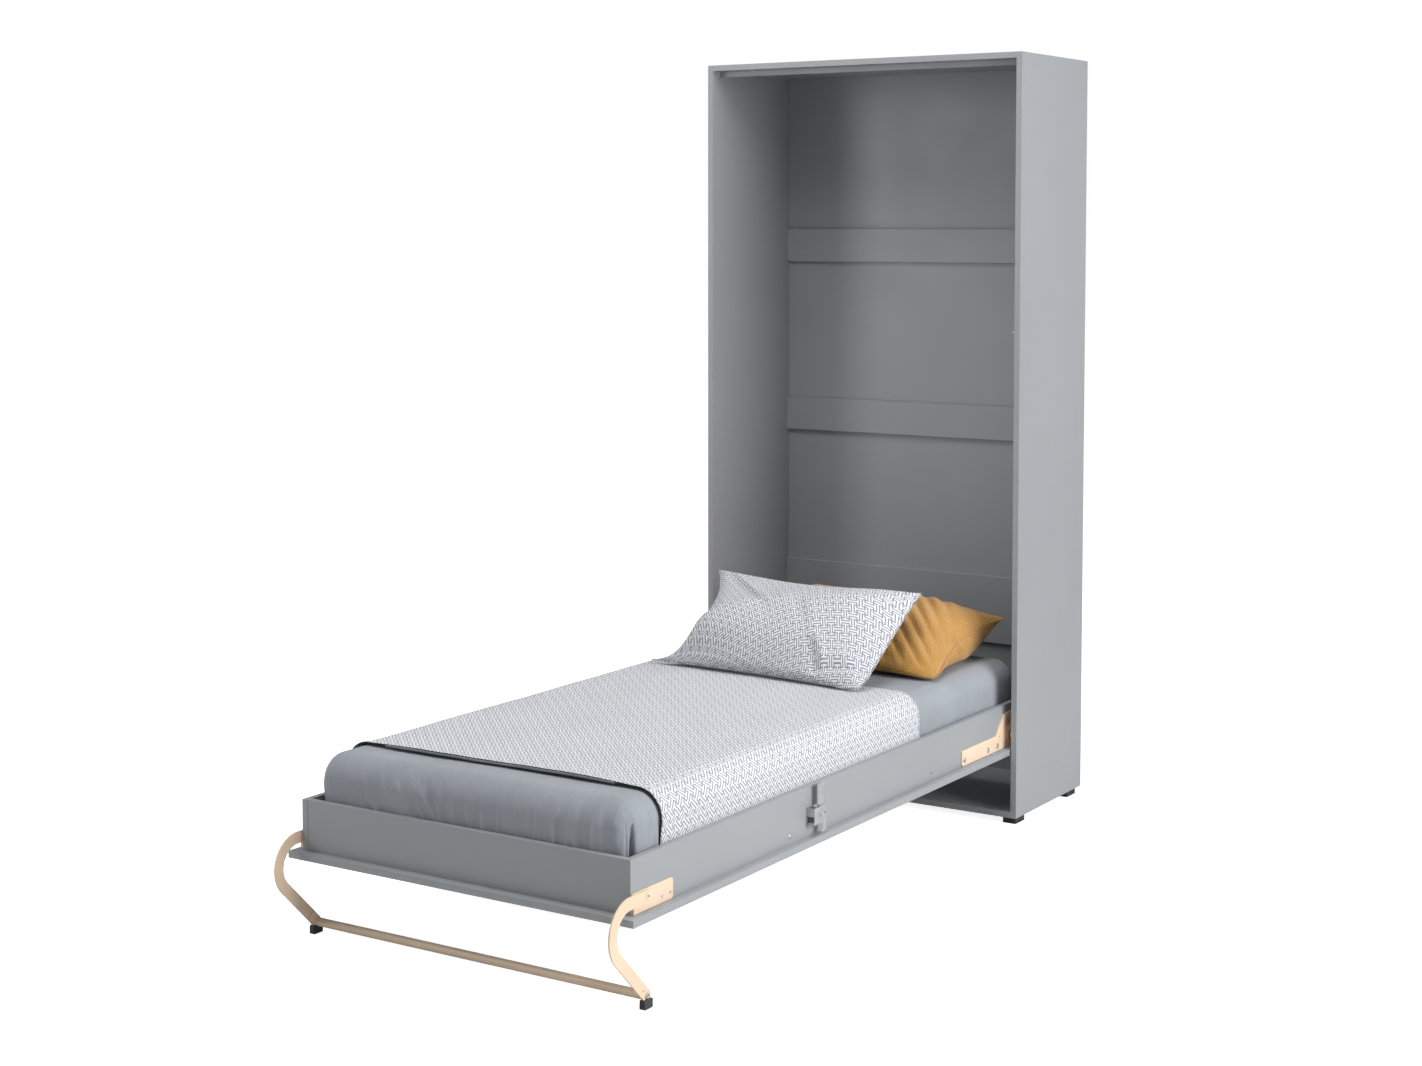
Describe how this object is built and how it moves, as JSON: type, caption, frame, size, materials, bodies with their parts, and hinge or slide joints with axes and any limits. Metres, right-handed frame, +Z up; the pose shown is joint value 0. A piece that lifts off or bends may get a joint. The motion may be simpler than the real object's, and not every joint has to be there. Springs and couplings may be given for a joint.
{
  "type": "vertical wall bed",
  "caption": "Tall shallow cabinet holding a single bed that folds down on side pivots, with a hinged leg frame, gas struts, latch, mattress, coverlet and pillows.",
  "frame": {"origin": "on the floor, in the middle of the whole open bed's plan: half way across the cabinet and half way from the wall to the foremost point of the leg frame", "axes": "+X to the sleeper's left-hand side of the cabinet as seen from the foot of the bed (the latch side), +Y from the foot of the bed to the wall, +Z up"},
  "size_m": [1.05, 2.4154, 2.204],
  "materials": {
    "board_grey": "matt light grey melamine-faced board",
    "pale_wood": "plain pale wood",
    "cream_metal": "cream powder coat",
    "zinc": "dull zinc plating",
    "rod_steel": "polished",
    "cylinder_black": "satin black",
    "black_plastic": "matte",
    "cap_rubber": "matte dark grey",
    "sheet": "matte blue-grey cotton sheet",
    "coverlet_weave": "white and pale grey woven key pattern",
    "pillow_weave": "white and pale grey woven key pattern",
    "pillow_cotton": "plain ochre cotton"
  },
  "bodies": {
    "cabinet": {"side_panel_left": "board_grey", "side_panel_right": "board_grey", "top_panel": "board_grey", "bottom_panel": "board_grey", "back_panel": "board_grey", "stop_strip": "board_grey", "upper_back_rail": "board_grey", "middle_back_rail": "board_grey", "lower_back_board": "board_grey", "cabinet_feet": "black_plastic", "cabinet_dowels": "pale_wood", "pivot_plate_left": "cream_metal", "pivot_plate_right": "cream_metal", "strut_bracket_left": "zinc", "strut_bracket_right": "zinc", "cabinet_screws": "zinc", "latch_striker": "zinc"},
    "bed": {"door_board": "board_grey", "bed_rail_left": "board_grey", "bed_rail_right": "board_grey", "footboard": "board_grey", "headboard_rail": "board_grey", "slat_ledgers": "pale_wood", "slats": "pale_wood", "bed_dowels": "pale_wood", "hinge_plate_left": "cream_metal", "hinge_plate_right": "cream_metal", "pivot_bushes": "black_plastic", "hinge_bolts": "zinc", "strut_studs": "zinc", "leg_plate_left": "cream_metal", "leg_plate_right": "cream_metal", "leg_plate_screws": "zinc", "leg_pivots": "cream_metal", "rail_screws": "zinc", "latch_housing": "zinc", "latch_screw": "zinc", "mattress": "sheet", "coverlet": "coverlet_weave", "pillow_patterned": "pillow_weave", "pillow_ochre": "pillow_cotton"},
    "leg_frame": {"leg_arm_left": "cream_metal", "leg_arm_right": "cream_metal", "leg_crossbar": "cream_metal", "crossbar_bolts": "zinc", "foot_cap_left": "cap_rubber", "foot_cap_right": "cap_rubber"},
    "cylinder_left": {"gas_cylinder_left": "cylinder_black"},
    "cylinder_right": {"gas_cylinder_right": "cylinder_black"},
    "rod_left": {"gas_rod_left": "rod_steel"},
    "rod_right": {"gas_rod_right": "rod_steel"},
    "tongue": {"latch_tongue": "zinc"},
    "lever": {"latch_lever": "zinc"}
  },
  "joints": [
    {"name": "bed_fold", "type": "hinge", "parent": "cabinet", "child": "bed", "pos_m": [0, 0.79425, 0.2485], "axis": [-1, 0, 0], "range_deg": [0, 90]},
    {"name": "leg_fold", "type": "hinge", "parent": "bed", "child": "leg_frame", "pos_m": [0, -1.06025, 0.249], "axis": [-1, 0, 0], "range_deg": [0, 190.01]},
    {"name": "latch_slide", "type": "slide", "parent": "bed", "child": "tongue", "axis": [0, -1, 0], "range_m": [0, 0.012]},
    {"name": "lever_turn", "type": "hinge", "parent": "bed", "child": "lever", "pos_m": [0.495, -0.32825, 0.268], "axis": [-1, 0, 0], "range_deg": [0, 15.1]},
    {"name": "strut_swing_left", "type": "hinge", "parent": "cabinet", "child": "cylinder_left", "pos_m": [-0.4965, 0.92575, 0.48], "axis": [-1, 0, 0], "range_deg": [0, 14.63]},
    {"name": "strut_slide_left", "type": "slide", "parent": "cylinder_left", "child": "rod_left", "axis": [0, -0.1272, -0.9919], "range_m": [0, 0.12313]},
    {"name": "strut_swing_right", "type": "hinge", "parent": "cabinet", "child": "cylinder_right", "pos_m": [0.4965, 0.92575, 0.48], "axis": [-1, 0, 0], "range_deg": [0, 14.63]},
    {"name": "strut_slide_right", "type": "slide", "parent": "cylinder_right", "child": "rod_right", "axis": [0, -0.1272, -0.9919], "range_m": [0, 0.12313]}
  ],
  "couplings": [
    {"joint": "leg_fold", "follows": "bed_fold", "ratio": 2.1111},
    {"joint": "lever_turn", "follows": "latch_slide", "rad_per_m": 21.8},
    {"joint": "strut_swing_left", "follows": "bed_fold", "ratio": 0.16238},
    {"joint": "strut_slide_left", "follows": "bed_fold", "m_per_rad": 0.078326},
    {"joint": "strut_swing_right", "follows": "bed_fold", "ratio": 0.16238},
    {"joint": "strut_slide_right", "follows": "bed_fold", "m_per_rad": 0.078326}
  ]
}
